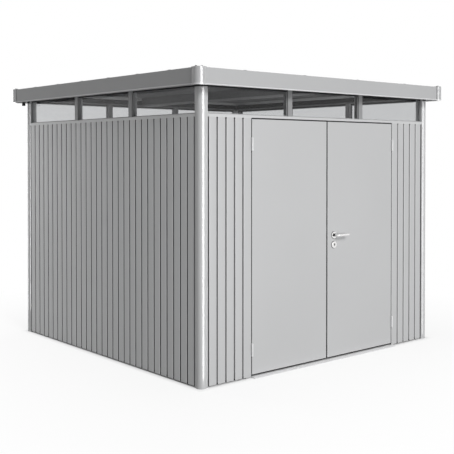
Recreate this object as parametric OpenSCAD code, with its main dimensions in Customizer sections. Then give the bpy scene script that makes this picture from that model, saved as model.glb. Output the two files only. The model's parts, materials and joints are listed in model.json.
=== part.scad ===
// Flat-roofed metal tool shed: ribbed wall sheets between rounded corner posts, a glazed
// band under the roof, a roof edge that is also the gutter, and a double door.
// Millimetres, +Z up. The origin is on the ground at the middle of the plan, and the
// door wall faces -Y.

/* [Plan] */
// Outside width of the walls, along X
shed_w = 2560; // [2300:10:3600]
// Outside depth of the walls, along Y
shed_d = 2560; // [1600:10:3600]

/* [Wall sheets] */
// Height of the top of the wall rail above the ground
wall_h = 1918; // [1700:1:2200]
// Wanted distance from groove to groove
rib_pitch = 80.5; // [60:0.5:120]
// Width of a groove at the face of the sheet
groove_w = 14; // [12:1:24]
// Width of the floor of a groove
groove_floor_w = 9; // [2:1:11]
// Depth of a groove
groove_depth = 16; // [6:1:18]
// Thickness of the wall sheet
sheet_t = 1.5; // [1:0.1:3]
// Gap between the ground and the lower edge of the sheets
sheet_lift = 10; // [0:1:15]
// Depth of the fold along the door opening
sheet_fold = 30; // [20:1:34]

/* [Frame] */
// Width of each leg of a corner post, along the wall face
post_w = 65; // [62:1:100]
// Radius of the round nose of a corner post
post_r = 38; // [20:1:42]
// How far the nose of a corner post stands out in front of the wall faces
post_proud = 8; // [1:0.5:10]
// Thickness of the corner post tube
post_t = 2.5; // [1.5:0.1:4]
// Height of the base rail
base_h = 45; // [20:1:80]
// Depth of the base rail
base_d = 40; // [20:1:60]
// Thickness of the folded base rail
base_t = 2; // [1:0.1:4]
// Height of the wall rail
rail_h = 22; // [15:1:60]
// Depth of the wall rail
rail_d = 58; // [57:1:90]
// Radius of the upper outer edge of the wall rail
rail_r = 4; // [1:0.5:10]

/* [Glazed band] */
// Height of the band between wall rail and roof frame
glazing_h = 198; // [100:1:400]
// Panes in the band on each side
bays = 3; // [2:1:5]
// Width of a glazing post
mullion_w = 46; // [30:1:70]
// Depth of a glazing post
mullion_d = 50; // [35:1:51]
// How far a glazing post stands behind the wall face
mullion_setback = 6; // [0:1:6]
// Thickness of a pane
pane_t = 4; // [3:0.5:6]
// How far a pane stands behind the wall face
pane_setback = 24; // [10:1:24]

/* [Roof] */
// How far the roof stands out over the walls
overhang = 98; // [80:1:200]
// Height of the roof edge
edge_h = 120; // [110:1:180]
// How far the roof edge hangs below the roof frame
edge_drop = 10; // [8:1:20]
// Thickness of the roof edge sheet
edge_t = 2; // [1:0.1:4]
// Radius of the rolled hem along the bottom of the roof edge
hem_r = 5; // [3:0.5:5]
// Radius of the round nose of a corner piece of the roof edge
edge_r = 44; // [25:1:48]
// How far the web of the roof edge stands behind its hem
edge_step = 3; // [1:0.5:4]
// How far the nose of a corner piece stands out in front of the straight roof edges
corner_proud = 7; // [1:0.5:10]
// How far the rim along the bottom of a corner piece stands out
corner_rim = 2; // [1:0.5:4]
// How far the corner pieces rise over the straight roof edges
corner_rise = 4; // [0.5:0.5:6]
// Length of each leg of a corner piece
corner_leg = 75; // [70:1:78]
// Depth of the flange along the top of the roof edge
edge_flange = 32; // [15:1:50]
// Height of the fold that ends the flange
flange_fold = 12; // [5:1:20]
// Height of the roof frame beams
beam_h = 85; // [60:1:96]
// Depth of the roof frame beams
beam_w = 50; // [30:1:80]
// Thickness of the folded roof frame beams
beam_t = 3; // [1.5:0.1:5]
// Height of the lips along the open side of the roof frame beams
beam_lip = 14; // [8:1:24]
// Width of the middle beam
middle_beam_w = 60; // [40:1:120]
// Thickness of the roof trays
tray_t = 1.5; // [1:0.1:3]
// Gap between the flange of the roof edge and the roof trays
tray_gap = 8; // [4:1:30]
// Wanted distance from seam to seam
seam_pitch = 606; // [400:1:800]
// Height of the roof seams above the frame
seam_h = 33; // [20:1:45]
// Width of a seam cap at its foot
seam_w = 30; // [24:1:50]
// Width of a seam cap at its top
seam_top_w = 16; // [14:1:20]
// Gap between the upstands of two roof trays
upstand_gap = 3; // [1:0.5:4]
// Clearance between the upstands and the top of a seam cap
upstand_clear = 2.5; // [1:0.5:5]
// Wanted distance between the gutter straps
strap_pitch = 400; // [250:10:700]
// Width of a gutter strap
strap_w = 24; // [15:1:40]
// Thickness of a gutter strap
strap_t = 3; // [2:0.5:5]
// How far a gutter strap rises over the roof edge
strap_rise = 8; // [6:0.5:14]
// Outside diameter of a rain outlet
outlet_d = 30; // [20:1:50]
// Wall of a rain outlet
outlet_wall = 2.5; // [1.5:0.5:4]
// Length of a rain outlet below the roof edge
outlet_l = 30; // [20:1:80]
// Distance of a rain outlet from the back wall face
outlet_inset = 33; // [30:1:300]

/* [Door] */
// Width of the door opening
door_w = 1610; // [1200:10:1800]
// Gap beside and above the door leaves
door_gap = 7; // [7:0.5:10]
// Gap between the two door leaves
meeting_gap = 13; // [6:0.5:14]
// Gap under the door leaves
sill_gap = 12; // [6:0.5:15]
// Thickness of a door leaf
leaf_t = 34; // [30:1:40]
// Radius of the folded edges of a door leaf
leaf_r = 4; // [1:0.5:8]
// Depth of the stiffening beads on the inside of a door leaf
bead_depth = 10; // [5:1:15]
// Height of a stiffening bead
bead_h = 70; // [40:1:120]
// Distance of the stiffening beads from the edges of a door leaf
bead_inset = 110; // [60:1:200]
// Height of the threshold
threshold_h = 12; // [6:0.5:20]
// How far the threshold stands out in front of the wall
threshold_out = 40; // [20:1:90]
// Clearance between a door leaf and its stop
stop_gap = 6; // [5:0.5:10]
// Thickness of the door stops
stop_t = 5; // [3:0.5:10]
// How far the door stops reach over the door leaves
stop_w = 20; // [15:1:40]
// Width of a door jamb
jamb_w = 50; // [30:1:60]

/* [Hinges] */
// Height of a hinge
hinge_h = 96; // [60:1:140]
// Distance of a hinge from the end of its door leaf
hinge_inset = 134; // [60:1:300]
// Diameter of the hinge barrel
barrel_d = 14; // [12:0.5:18]
// Diameter of the hinge pin
pin_d = 6; // [4:0.5:8]
// Thickness of the hinge plates
plate_t = 2; // [1:0.1:2.5]
// Depth of the hinge plates in the door gap
plate_d = 28; // [15:1:30]

/* [Lock] */
// Height of the door lever above the ground
lever_z = 991; // [850:1:1150]
// Distance of the door lever from the meeting edge of its leaf
lever_backset = 70.5; // [50:0.5:100]
// Distance from the lever down to the key hole
key_drop = 77; // [65:1:100]
// Diameter of the round lock plates
rose_d = 54; // [45:1:60]
// Thickness of the round lock plates
rose_t = 9; // [6:0.5:14]
// Diameter of the door lever
lever_d = 19; // [14:0.5:24]
// Length of the door lever from its axis
lever_l = 130; // [90:1:160]
// Distance of the lever from the face of the door leaf
lever_out = 48; // [45:1:70]
// Radius of the bend of the lever
lever_bend = 18; // [14:1:20]
// Diameter of the spindle through the door leaf
spindle_d = 9; // [6:0.5:12]
// Diameter of the lock cylinder
cylinder_d = 24; // [16:1:30]

/* [Hidden] */
$fn = 48;

metal_colour = [0.74, 0.745, 0.75];
inside_colour = [0.62, 0.625, 0.63];
pane_colour = [0.80, 0.83, 0.85, 0.45];
steel_colour = [0.86, 0.86, 0.87];
overcut = 1;

// Levels
sheet_top = wall_h - rail_h;
frame_z = wall_h + glazing_h;
tray_z = frame_z + beam_h;
edge_z = frame_z - edge_drop;
flange_z = edge_z + edge_h;

// Wall sheets: clear run between the corner posts, and the folds of a groove
front_run = shed_w - 2 * post_w;
side_run = shed_d - 2 * post_w;
front_panel_run = (front_run - door_w) / 2;
groove_lean = atan2((groove_w - groove_floor_w) / 2, groove_depth);
fold_shift = sheet_t * tan((90 - groove_lean) / 2);
base_setback = groove_depth + sheet_t;

// Roof trays and seams
tray_inset = edge_step + edge_flange + tray_gap;
tray_w = shed_w + 2 * (overhang - tray_inset);
tray_d = shed_d + 2 * (overhang - tray_inset);
seams = floor(tray_w / seam_pitch);
upstand_h = seam_h - tray_t - upstand_clear;
cap_lean = seam_w - seam_top_w;

// Door leaves
leaf_w = (door_w - meeting_gap) / 2 - door_gap;
leaf_z = threshold_h + sill_gap;
leaf_h = sheet_top - door_gap - leaf_z;
stop_setback = leaf_t + stop_gap;
front_y = -shed_d / 2;

// Hinge pins stand in the middle of the side gap, just clear of the wall face
barrel_clear = 0.5;
hinge_x = (door_w - door_gap) / 2;
hinge_y = front_y - barrel_d / 2 - barrel_clear;
hinge_levels = [leaf_z + hinge_inset, leaf_z + leaf_h - hinge_inset - hinge_h];
knuckle_gap = 0.5;
knuckle_h = hinge_h / 3;
pin_clear = 0.3;
plate_clear = 1;

// Lock
lever_x = meeting_gap / 2 + lever_backset;
lever_clear = 0.5;
spindle_clear = 1;
rose_levels = [lever_z, lever_z - key_drop];

// The length of a side, and the distance of its outer face from the middle of the plan
function side_length(side) = side == "front" || side == "back" ? shed_w : shed_d;
function side_reach(side) = side == "front" || side == "back" ? shed_d / 2 : shed_w / 2;
function side_turn(side) = side == "front" ? 0 : side == "right" ? 90 : side == "back" ? 180 : 270;

// Puts a piece that is drawn along X, with its outer face at y = 0 and its depth along +Y,
// on one side of the shed
module on_side(side) {
    rotate([0, 0, side_turn(side)])
        translate([0, -side_reach(side), 0])
            children();
}

// Puts a piece that is drawn with its outer corner at the origin, and its legs along +X and
// +Y, on a corner of a rectangle
module at_corner(right, back, width, depth) {
    translate([(right ? 1 : -1) * width / 2, (back ? 1 : -1) * depth / 2, 0])
        mirror([right ? 1 : 0, 0, 0])
            mirror([0, back ? 1 : 0, 0])
                children();
}

// Runs a profile, drawn as depth along X and height along Y, along a length centred on X = 0
module run_profile(length) {
    translate([-length / 2, 0, 0])
        rotate([90, 0, 90])
            linear_extrude(length)
                children();
}

// A square with its corner at the origin rounded
module rounded_corner(size, radius) {
    difference() {
        square(size);
        difference() {
            translate([-overcut, -overcut])
                square(radius + overcut);
            translate([radius, radius])
                circle(radius);
        }
    }
}

// A square whose corner at the origin is a round nose, which stands out by the given distance
module nosed_corner(size, radius, proud) {
    middle = radius - proud;
    intersection() {
        union() {
            difference() {
                square(size);
                translate([-overcut, -overcut])
                    square(middle + overcut);
            }
            translate([middle, middle])
                circle(radius);
        }
        translate([-radius, -radius])
            square(radius + size);
    }
}

// Grooves of a sheet, as points along its face or, folded by the sheet's thickness, its back
function groove_count(run) = max(1, round((run - groove_w) / rib_pitch));
function groove_points(centre, shift, level) = [
    [centre - groove_w / 2 - shift, level],
    [centre - groove_floor_w / 2 - shift, groove_depth + level],
    [centre + groove_floor_w / 2 + shift, groove_depth + level],
    [centre + groove_w / 2 + shift, level]
];
function grooves(first, last, pitch, shift, level) = [
    for (k = [first:1:last])
        each groove_points(groove_w / 2 + k * pitch, shift, level)
];
function first_groove(shift, level) = [
    [0, groove_depth + level],
    [(groove_w + groove_floor_w) / 2 + shift, groove_depth + level],
    [groove_w + shift, level]
];
function mirrored_end(points, run) = [
    for (k = [len(points) - 1:-1:0])
        [run - points[k][0], points[k][1]]
];
function backwards(points) = [for (k = [len(points) - 1:-1:0]) points[k]];

// One surface of a sheet that runs from post to post, with a groove along each post
function full_surface(run, shift, level) =
    let (count = groove_count(run), pitch = (run - groove_w) / count)
    concat(
        first_groove(shift, level),
        grooves(1, count - 1, pitch, shift, level),
        mirrored_end(first_groove(shift, level), run)
    );

// One surface of a sheet that runs from a post to the door, where it is folded inwards
function door_side_surface(run, shift, level) =
    let (count = groove_count(run + groove_w / 2), pitch = (run - groove_w / 2) / count)
    concat(
        first_groove(shift, level),
        grooves(1, count - 1, pitch, shift, level),
        [[run - level, level], [run - level, sheet_fold]]
    );

module sheet_body(face, rear) {
    translate([0, 0, sheet_lift])
        linear_extrude(sheet_top - sheet_lift)
            polygon(concat(face, backwards(rear)));
}

module full_wall(side) {
    run = side_length(side) - 2 * post_w;
    color(metal_colour)
        on_side(side)
            translate([-run / 2, 0, 0])
                sheet_body(full_surface(run, 0, 0), full_surface(run, fold_shift, sheet_t));
}

module front_wall(right) {
    run = front_panel_run;
    color(metal_colour)
        on_side("front")
            mirror([right ? 1 : 0, 0, 0])
                translate([-front_run / 2, 0, 0])
                    sheet_body(door_side_surface(run, 0, 0), door_side_surface(run, fold_shift, sheet_t));
}

module corner_post(right, back) {
    middle = post_r - post_proud;
    color(metal_colour)
        at_corner(right, back, shed_w, shed_d)
            linear_extrude(frame_z)
                difference() {
                    nosed_corner(post_w, post_r, post_proud);
                    translate([post_t, post_t])
                        rounded_corner(post_w - 2 * post_t, middle - post_t);
                }
}

// Section of the base rail, a channel open to the inside
module base_section() {
    translate([base_setback, 0])
        difference() {
            square([base_d, base_h]);
            translate([base_t, base_t])
                square([base_d, base_h - 2 * base_t]);
        }
}

module base_rail(side) {
    color(inside_colour)
        on_side(side)
            run_profile(side_length(side) - 2 * post_w)
                base_section();
}

module base_rails_front() {
    length = front_panel_run - sheet_t - jamb_w;
    color(inside_colour)
        on_side("front")
            for (right = [false, true])
                mirror([right ? 1 : 0, 0, 0])
                    translate([(length - front_run) / 2, 0, 0])
                        run_profile(length)
                            base_section();
}

module door_threshold() {
    lip = threshold_h / 3;
    color(metal_colour)
        on_side("front")
            run_profile(door_w)
                polygon([
                    [-threshold_out, 0],
                    [-threshold_out, lip],
                    [-threshold_h, threshold_h],
                    [stop_setback + stop_t, threshold_h],
                    [stop_setback + stop_t, 0]
                ]);
}

// Section of the wall rail, with its upper outer edge rounded
module rail_section() {
    difference() {
        square([rail_d, rail_h]);
        translate([0, rail_h - rail_r])
            square(rail_r);
    }
    translate([rail_r, rail_h - rail_r])
        circle(rail_r);
}

module wall_rail(side) {
    color(metal_colour)
        on_side(side)
            translate([0, 0, sheet_top])
                run_profile(side_length(side) - 2 * post_w)
                    rail_section();
}

// The front wall rail also carries the stop above the door leaves
module wall_rail_front() {
    wall_rail("front");
    color(metal_colour)
        on_side("front")
            translate([0, 0, sheet_top - stop_w])
                run_profile(door_w)
                    translate([stop_setback, 0])
                        square([stop_t, stop_w + overcut]);
}

// A door jamb with the stop beside the door leaf, which stands on the threshold and ends
// under the stop of the wall rail
module door_jamb(right) {
    stop_h = sheet_top - stop_w - threshold_h;
    color(inside_colour)
        on_side("front")
            mirror([right ? 1 : 0, 0, 0]) {
                linear_extrude(sheet_top)
                    translate([-door_w / 2 - sheet_t - jamb_w, sheet_t])
                        square([jamb_w, stop_setback + stop_t - sheet_t]);
                translate([0, 0, threshold_h])
                    linear_extrude(stop_h)
                        translate([-door_w / 2 - sheet_t - overcut, stop_setback])
                            square([stop_w + sheet_t + overcut, stop_t]);
            }
}

// Middles of the glazing posts along a clear run
function mullion_places(run) = [for (k = [1:1:bays - 1]) run * (k / bays - 0.5)];

module glazing_posts(side) {
    color(metal_colour)
        on_side(side)
            for (x = mullion_places(side_length(side) - 2 * post_w))
                translate([x - mullion_w / 2, mullion_setback, wall_h])
                    cube([mullion_w, mullion_d, glazing_h]);
}

module glazing(side) {
    run = side_length(side) - 2 * post_w;
    bay = run / bays;
    color(pane_colour)
        on_side(side)
            for (k = [0:1:bays - 1]) {
                start = k == 0 ? 0 : mullion_w / 2;
                end = k == bays - 1 ? 0 : mullion_w / 2;
                translate([k * bay - run / 2 + start, pane_setback, wall_h])
                    cube([bay - start - end, pane_t, glazing_h]);
            }
}

// Section of the roof frame beams, a channel with lips along its open inner side
module beam_section() {
    difference() {
        square([beam_w, beam_h]);
        translate([beam_t, beam_t])
            square([beam_w - 2 * beam_t, beam_h - 2 * beam_t]);
        translate([beam_t, beam_lip])
            square([beam_w, beam_h - 2 * beam_lip]);
    }
}

module roof_beam(side) {
    across = side == "front" || side == "back";
    color(inside_colour)
        on_side(side)
            translate([0, 0, frame_z])
                run_profile(side_length(side) - (across ? 0 : 2 * beam_w))
                    beam_section();
}

module roof_beam_middle() {
    length = shed_d - 2 * beam_w;
    color(inside_colour)
        translate([0, 0, frame_z])
            rotate([0, 0, 90])
                run_profile(length)
                    translate([-middle_beam_w / 2, 0])
                        square([middle_beam_w, beam_h]);
}

// Middles of the seams across the roof
function seam_places() = [for (k = [0:1:seams - 1]) (k - (seams - 1) / 2) * seam_pitch];

// A roof tray from one seam to the next, with upstands under the seam caps
module roof_tray(start, end, left_upstand, right_upstand) {
    translate([0, tray_d / 2, tray_z])
        rotate([90, 0, 0])
            linear_extrude(tray_d) {
                translate([start, 0])
                    square([end - start, tray_t]);
                if (left_upstand)
                    translate([start, 0])
                        square([tray_t, upstand_h]);
                if (right_upstand)
                    translate([end - tray_t, 0])
                        square([tray_t, upstand_h]);
            }
}

module roof_trays() {
    places = seam_places();
    color(metal_colour)
        for (k = [0:1:seams]) {
            start = k == 0 ? -tray_w / 2 : places[k - 1] + upstand_gap / 2;
            end = k == seams ? tray_w / 2 : places[k] - upstand_gap / 2;
            roof_tray(start, end, k > 0, k < seams);
        }
}

module roof_seam_caps() {
    cap_inner_w = seam_top_w - 2 * tray_t;
    color(metal_colour)
        for (x = seam_places())
            translate([x, tray_d / 2, tray_z + tray_t])
                rotate([90, 0, 0])
                    linear_extrude(tray_d)
                        difference() {
                            cap_section(seam_w, seam_top_w, seam_h - tray_t);
                            translate([0, -overcut])
                                cap_section(
                                    cap_inner_w + cap_lean,
                                    cap_inner_w,
                                    seam_h - 2 * tray_t + overcut
                                );
                        }
}

module cap_section(foot, top, height) {
    polygon([[-foot / 2, 0], [foot / 2, 0], [top / 2, height], [-top / 2, height]]);
}

// Section of the skin of the roof edge: rolled hem, web and top flange with its fold
module edge_skin() {
    translate([hem_r, hem_r])
        circle(hem_r);
    translate([edge_step, hem_r])
        square([edge_t, edge_h - hem_r]);
    translate([edge_step, edge_h - edge_t])
        square([edge_flange, edge_t]);
    translate([edge_step + edge_flange - edge_t, edge_h - flange_fold])
        square([edge_t, flange_fold]);
}

// Section of the gutter floor behind the web of the roof edge
module edge_floor() {
    translate([edge_step, edge_drop])
        square([overhang - edge_step, edge_t]);
}

// The skin of a straight roof edge runs up to the corner pieces, its floor up to the wall corners
module roof_edge(side) {
    length = side_length(side);
    color(metal_colour)
        on_side(side)
            translate([0, -overhang, edge_z]) {
                run_profile(length + 2 * (overhang - corner_leg))
                    edge_skin();
                run_profile(length)
                    edge_floor();
            }
}

// A side roof edge has a hole in its floor for the rain outlet
module roof_edge_with_outlet(side) {
    color(metal_colour)
        difference() {
            roof_edge(side);
            outlet_place(side == "right")
                translate([0, 0, -overcut])
                    cylinder(h = edge_t + 2 * overcut, d = outlet_d - 2 * outlet_wall);
        }
}

module outlet_place(right) {
    translate([
        (right ? 1 : -1) * (shed_w + overhang) / 2,
        shed_d / 2 - outlet_inset,
        frame_z
    ])
        children();
}

module rain_outlets() {
    collar_d = outlet_d + 4 * outlet_wall;
    bore_d = outlet_d - 2 * outlet_wall;
    color(metal_colour)
        for (right = [false, true])
            outlet_place(right)
                mirror([0, 0, 1])
                    difference() {
                        union() {
                            cylinder(h = outlet_wall, d = collar_d);
                            cylinder(h = edge_drop + outlet_l, d = outlet_d);
                        }
                        translate([0, 0, -overcut])
                            cylinder(h = edge_drop + outlet_l + 2 * overcut, d = bore_d);
                    }
}

// Plan of a corner piece with its round nose, down to a distance behind its faces
module corner_plan(radius, proud, inner) {
    middle = edge_r - corner_proud;
    difference() {
        nosed_corner(corner_leg, radius, proud);
        translate([inner, inner])
            rounded_corner(corner_leg, max(middle - inner, edge_t));
    }
}

// A corner piece of the roof edge has a round nose that stands out in front of the two straight
// roof edges that meet it, and closes the square of gutter floor between them
module roof_corner(right, back) {
    web_inner = edge_step + edge_t;
    flange_inner = edge_step + edge_flange;
    middle = edge_r - corner_proud;
    rim_inner = 2 * hem_r;
    spare = overhang - corner_leg + overcut;
    color(metal_colour)
        at_corner(right, back, shed_w + 2 * overhang, shed_d + 2 * overhang)
            translate([0, 0, edge_z]) {
                linear_extrude(2 * hem_r)
                    corner_plan(edge_r + corner_rim, corner_proud + corner_rim, rim_inner);
                translate([0, 0, hem_r])
                    linear_extrude(edge_h - hem_r + corner_rise)
                        corner_plan(edge_r, corner_proud, web_inner);
                translate([0, 0, edge_h - edge_t])
                    linear_extrude(edge_t + corner_rise)
                        corner_plan(edge_r, corner_proud, flange_inner);
                translate([0, 0, edge_drop])
                    linear_extrude(edge_t) {
                        translate([edge_step, edge_step])
                            rounded_corner(corner_leg - edge_step, middle - edge_step);
                        translate([corner_leg - overcut, web_inner])
                            square([spare, overhang - web_inner]);
                        translate([web_inner, corner_leg - overcut])
                            square([overhang - web_inner, spare]);
                    }
            }
}

// Section of a gutter strap: flat on the flange of the roof edge, then raised over the gap
// and down to the roof tray
module strap_section() {
    start = edge_flange / 2;
    rise = edge_flange - strap_t;
    reach = edge_flange + tray_gap + strap_w;
    foot_h = flange_z - tray_z - tray_t;
    translate([start, 0])
        square([edge_flange - start, strap_t]);
    translate([rise, 0])
        square([strap_t, strap_rise]);
    translate([rise, strap_rise - strap_t])
        square([reach - rise, strap_t]);
    translate([reach - strap_t, -foot_h])
        square([strap_t, foot_h + strap_rise]);
}

// Straps tie the flange of the roof edge to the roof trays along both sides
module gutter_straps() {
    count = floor((shed_d - strap_w) / strap_pitch);
    color(metal_colour)
        for (side = ["left", "right"])
            on_side(side)
                for (k = [0:1:count - 1])
                    translate([(k - (count - 1) / 2) * strap_pitch, edge_step - overhang, flange_z])
                        run_profile(strap_w)
                            strap_section();
}

// Draws a hinge piece for the left door leaf, with its pin on the Z axis, or mirrors it for the right
module at_hinges(right) {
    mirror([right ? 1 : 0, 0, 0])
        for (z = hinge_levels)
            translate([-hinge_x, hinge_y, z])
                children();
}

// One knuckle with the tab that joins it to its plate at the given place across the gap
module knuckle(level, plate_x) {
    translate([0, 0, level + knuckle_gap / 2]) {
        cylinder(h = knuckle_h - knuckle_gap, d = barrel_d);
        translate([plate_x, 0, 0])
            cube([plate_t, barrel_d / 2 + plate_clear + overcut, knuckle_h - knuckle_gap]);
    }
}

module hinge_plate(plate_x) {
    start = barrel_d / 2 + plate_clear;
    translate([plate_x, start, 0])
        cube([plate_t, barrel_clear + barrel_d / 2 + plate_d - start, hinge_h]);
}

module frame_hinges() {
    plate_x = -door_gap / 2;
    color(metal_colour)
        for (right = [false, true])
            at_hinges(right) {
                hinge_plate(plate_x);
                knuckle(0, plate_x);
                knuckle(2 * knuckle_h, plate_x);
                cylinder(h = hinge_h, d = pin_d);
            }
}

module door_hinges(right) {
    plate_x = door_gap / 2 - plate_t;
    color(metal_colour)
        at_hinges(right) {
            hinge_plate(plate_x);
            difference() {
                knuckle(knuckle_h, plate_x);
                translate([0, 0, knuckle_h])
                    cylinder(h = knuckle_h, d = pin_d + 2 * pin_clear);
            }
        }
}

// A door leaf drawn from its meeting edge along +X, with its outer face at y = 0
module leaf_plan() {
    translate([leaf_r, 0])
        square([leaf_w - 2 * leaf_r, leaf_t]);
    translate([0, leaf_r])
        square([leaf_w, leaf_t - leaf_r]);
    for (x = [leaf_r, leaf_w - leaf_r])
        translate([x, leaf_r])
            circle(leaf_r);
}

// Levels of the middles of the three stiffening beads
function bead_levels() = [
    leaf_z + bead_inset + bead_h / 2,
    lever_z - key_drop - rose_d - bead_h,
    leaf_z + leaf_h - bead_inset - bead_h / 2
];

module leaf_bead(level) {
    slope = bead_depth / 2;
    length = leaf_w - 2 * bead_inset;
    translate([bead_inset + length / 2, leaf_t, level - bead_h / 2])
        run_profile(length)
            polygon([
                [-overcut, 0],
                [0, 0],
                [bead_depth, slope],
                [bead_depth, bead_h - slope],
                [0, bead_h],
                [-overcut, bead_h]
            ]);
}

module leaf_body() {
    translate([0, 0, leaf_z])
        linear_extrude(leaf_h)
            leaf_plan();
    for (level = bead_levels())
        leaf_bead(level);
}

module left_door_leaf() {
    color(metal_colour)
        on_side("front")
            mirror([1, 0, 0])
                translate([meeting_gap / 2, 0, 0])
                    leaf_body();
}

module right_door_leaf() {
    color(metal_colour)
        difference() {
            on_side("front")
                translate([meeting_gap / 2, 0, 0])
                    leaf_body();
            lever_axis()
                translate([0, 0, -leaf_t - overcut])
                    cylinder(h = leaf_t + 2 * overcut, d = spindle_d + 2 * spindle_clear);
        }
}

// Turns a piece drawn along Z, from the outer face of the door leaf outwards, on to the lever's axis
module lever_axis(z = lever_z) {
    translate([lever_x, front_y, z])
        rotate([90, 0, 0])
            children();
}

// Moves a piece drawn on the outer face of the door leaf to its inner face
module on_inner_face() {
    translate([0, 0, -leaf_t])
        mirror([0, 0, 1])
            children();
}

// Round lock plate with a rounded rim and a hole
module rose(hole_d) {
    rim = rose_t / 3;
    rotate_extrude()
        difference() {
            union() {
                square([rose_d / 2 - rim, rose_t]);
                square([rose_d / 2, rose_t - rim]);
                translate([rose_d / 2 - rim, rose_t - rim])
                    circle(rim);
            }
            translate([0, -overcut])
                square([hole_d / 2, rose_t + 2 * overcut]);
            translate([-rose_d, -overcut])
                square([rose_d, rose_t + 2 * overcut]);
        }
}

// Lock cylinder with its key slot
module lock_cylinder() {
    proud = 2;
    slot_w = 3;
    slot_l = 10;
    difference() {
        cylinder(h = rose_t + proud, d = cylinder_d);
        translate([-slot_w / 2, -slot_l / 2, rose_t - proud])
            cube([slot_w, slot_l, 3 * proud]);
    }
}

module lock_plates() {
    color(steel_colour) {
        lever_axis(rose_levels[0]) {
            rose(lever_d + 2 * lever_clear);
            on_inner_face()
                rose(lever_d + 2 * lever_clear);
        }
        lever_axis(rose_levels[1]) {
            rose(cylinder_d - overcut);
            lock_cylinder();
            on_inner_face() {
                rose(cylinder_d - overcut);
                lock_cylinder();
            }
        }
    }
}

// One lever: neck, quarter bend and grip with a round end
module lever_arm() {
    grip_l = lever_l - lever_bend - lever_d / 2;
    cylinder(h = lever_out - lever_bend, d = lever_d);
    translate([lever_bend, 0, lever_out - lever_bend])
        rotate([90, -90, 0])
            rotate_extrude(angle = 90)
                translate([lever_bend, 0])
                    circle(d = lever_d);
    translate([lever_bend, 0, lever_out])
        rotate([0, 90, 0]) {
            cylinder(h = grip_l, d = lever_d);
            translate([0, 0, grip_l])
                sphere(d = lever_d);
        }
}

module door_lever() {
    color(steel_colour)
        lever_axis() {
            translate([0, 0, lever_clear])
                lever_arm();
            on_inner_face()
                translate([0, 0, lever_clear])
                    lever_arm();
            translate([0, 0, -leaf_t - overcut])
                cylinder(h = leaf_t + 2 * overcut, d = spindle_d);
        }
}

corner_post(false, false);  // corner_post_front_left
corner_post(true, false);  // corner_post_front_right
corner_post(false, true);  // corner_post_back_left
corner_post(true, true);  // corner_post_back_right
base_rail("left");  // base_rail_left
base_rail("right");  // base_rail_right
base_rail("back");  // base_rail_back
base_rails_front();
door_threshold();
full_wall("left");  // left_wall
full_wall("right");  // right_wall
full_wall("back");  // back_wall
front_wall(false);  // front_wall_left
front_wall(true);  // front_wall_right
wall_rail_front();
wall_rail("left");  // wall_rail_left
wall_rail("right");  // wall_rail_right
wall_rail("back");  // wall_rail_back
door_jamb(false);  // door_jamb_left
door_jamb(true);  // door_jamb_right
glazing_posts("front");  // glazing_posts_front
glazing_posts("left");  // glazing_posts_left
glazing_posts("right");  // glazing_posts_right
glazing_posts("back");  // glazing_posts_back
glazing("front");  // glazing_front
glazing("left");  // glazing_left
glazing("right");  // glazing_right
glazing("back");  // glazing_back
roof_beam("front");  // roof_beam_front
roof_beam("left");  // roof_beam_left
roof_beam("right");  // roof_beam_right
roof_beam("back");  // roof_beam_back
roof_beam_middle();
roof_trays();
roof_seam_caps();
roof_edge("front");  // roof_edge_front
roof_edge_with_outlet("left");  // roof_edge_left
roof_edge_with_outlet("right");  // roof_edge_right
roof_edge("back");  // roof_edge_back
roof_corner(false, false);  // roof_corner_front_left
roof_corner(true, false);  // roof_corner_front_right
roof_corner(false, true);  // roof_corner_back_left
roof_corner(true, true);  // roof_corner_back_right
gutter_straps();
rain_outlets();
frame_hinges();
door_hinges(false);  // left_door_hinges
door_hinges(true);  // right_door_hinges
left_door_leaf();
right_door_leaf();
lock_plates();
door_lever();
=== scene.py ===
"""Looks of a flat-roofed metal tool shed: finishes, folded wall sheets, seals and fasteners."""
import json
import math

import bmesh
import bpy
from mathutils import Matrix, Vector


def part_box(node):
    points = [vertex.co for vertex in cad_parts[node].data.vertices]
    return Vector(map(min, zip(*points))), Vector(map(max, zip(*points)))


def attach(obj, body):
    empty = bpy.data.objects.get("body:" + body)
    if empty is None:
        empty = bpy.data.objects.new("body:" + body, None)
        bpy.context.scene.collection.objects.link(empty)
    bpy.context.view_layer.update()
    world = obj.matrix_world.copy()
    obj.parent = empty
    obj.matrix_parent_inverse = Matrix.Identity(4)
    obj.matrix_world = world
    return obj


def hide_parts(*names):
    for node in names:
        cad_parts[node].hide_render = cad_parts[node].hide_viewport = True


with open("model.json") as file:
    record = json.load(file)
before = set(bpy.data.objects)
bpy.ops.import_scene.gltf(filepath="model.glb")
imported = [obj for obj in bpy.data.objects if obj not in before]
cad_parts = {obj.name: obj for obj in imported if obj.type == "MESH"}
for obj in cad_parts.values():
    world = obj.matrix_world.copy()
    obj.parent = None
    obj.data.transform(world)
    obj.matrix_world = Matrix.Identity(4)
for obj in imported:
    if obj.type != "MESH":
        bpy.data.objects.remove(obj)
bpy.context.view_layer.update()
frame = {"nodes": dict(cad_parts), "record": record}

SIDES = ("front", "right", "back", "left")
SIDE_TURN = {"front": 0, "right": 90, "back": 180, "left": 270}
CORNERS = ("front_left", "front_right", "back_left", "back_right")

# The small step that keeps two faces out of one plane, and edge rounding, in metres and degrees
HAIR = 0.0002
BEVEL = 0.0006
THIN_BEVEL = 0.0004
BEVEL_STEPS = 2
SMOOTH_ANGLE = 35.0

# Wall sheets, in metres, and the share of a side that a fold may take
RIB_PITCH = 0.0805
GROOVE_W = 0.014
GROOVE_FLOOR_W = 0.009
GROOVE_DEPTH = 0.016
GROOVE_LEAN = (GROOVE_W - GROOVE_FLOOR_W) / 2 / GROOVE_DEPTH
SHEET_T = 0.0015
FOLD_R = 0.005
FOLD_STEPS = 4
FOLD_SHARE = 0.45
DOOR_FOLD = 0.030

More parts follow.
